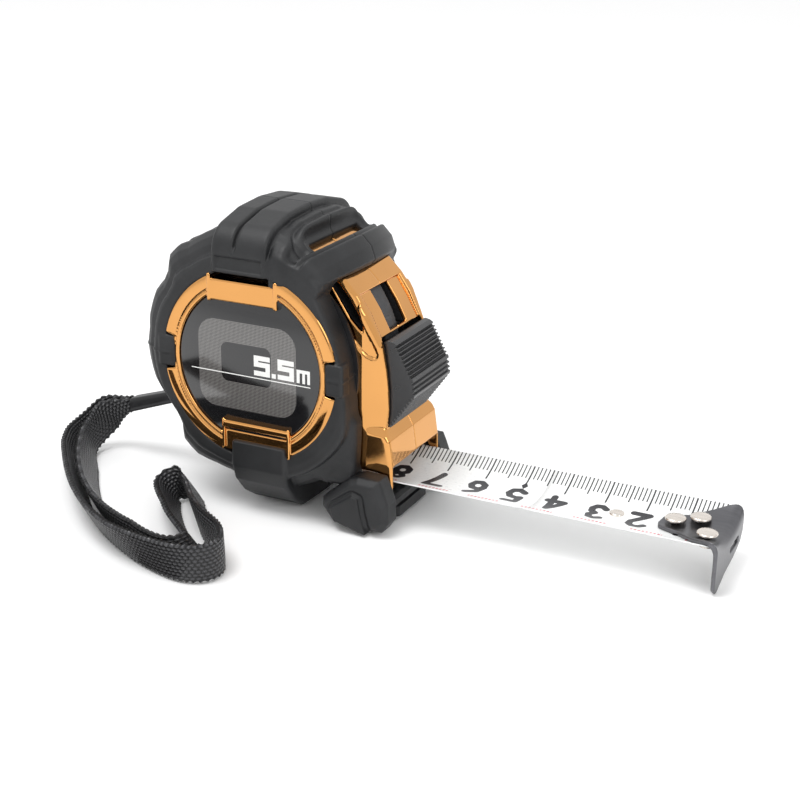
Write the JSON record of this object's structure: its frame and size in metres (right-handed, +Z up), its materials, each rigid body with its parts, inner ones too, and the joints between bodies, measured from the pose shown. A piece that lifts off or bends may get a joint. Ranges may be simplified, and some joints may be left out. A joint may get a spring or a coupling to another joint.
{
  "type": "tape measure",
  "caption": "Pocket tape measure, copper-gold and black rubber case, 25 mm blade drawn out to ten centimetres, end hook, thumb lock and wrist strap.",
  "frame": {"origin": "on the floor under the middle of the round case, in the blade's middle plane", "axes": "+X the way the blade pulls out, +Y to the left of it, +Z up"},
  "size_m": [0.1712, 0.0808, 0.073],
  "materials": {
    "gold_plating": "polished copper-gold plating on moulded plastic",
    "elastomer": "matte, faintly grained",
    "black_plastic": "satin",
    "label_print": "gloss black film with grey and white print",
    "grey_plastic": "natural",
    "steel": "bright",
    "blade_coating": "satin white enamel with black print",
    "dark_steel": "dark oxide",
    "nickel": "satin nickel",
    "webbing": "woven nylon"
  },
  "bodies": {
    "case": {"shell_right": "gold_plating", "shell_left": "gold_plating", "bumper_right": "elastomer", "bumper_left": "elastomer", "toe_right": "black_plastic", "toe_left": "black_plastic", "label_right": "label_print", "label_left": "label_print", "mouth_guide": "black_plastic", "hook_bumper": "elastomer", "case_screws": "steel", "centre_post": "steel", "power_spring": "steel", "detent_spring": "steel", "strap_webbing": "webbing", "strap_neck": "black_plastic", "strap_pin": "steel"},
    "drum": {"drum": "grey_plastic", "drum_flange": "grey_plastic", "blade_coil": "blade_coating"},
    "blade": {"blade_front": "blade_coating", "blade_rear": "blade_coating", "blade_eyelet": "nickel", "hook_rivets": "nickel", "rivet_plate": "steel"},
    "hook": {"end_hook": "dark_steel"},
    "lock": {"lock_button": "black_plastic", "lock_slider": "black_plastic"},
    "brake": {"brake_shoe": "black_plastic", "brake_pad": "elastomer"}
  },
  "joints": [
    {"name": "blade_slide", "type": "slide", "parent": "case", "child": "blade", "axis": [1, 0, 0], "range_m": [-0.076, 0.018], "deforming": ["blade_rear"]},
    {"name": "drum_spin", "type": "hinge", "parent": "case", "child": "drum", "pos_m": [0, 0, 0.0373], "axis": [0, -1, 0], "range_deg": [-180, 45]},
    {"name": "lock_slide", "type": "hinge", "parent": "case", "child": "lock", "pos_m": [0, 0, 0.0373], "axis": [0, -1, 0], "range_deg": [0, 14]},
    {"name": "brake_lift", "type": "slide", "parent": "case", "child": "brake", "axis": [0, 0, 1], "range_m": [0, 0.0012]},
    {"name": "hook_slide", "type": "slide", "parent": "blade", "child": "hook", "axis": [1, 0, 0], "range_m": [-0.0005, 0.0005]}
  ],
  "couplings": [
    {"joint": "drum_spin", "follows": "blade_slide", "rad_per_m": 40.816},
    {"joint": "brake_lift", "follows": "lock_slide", "m_per_rad": 0.0049}
  ]
}
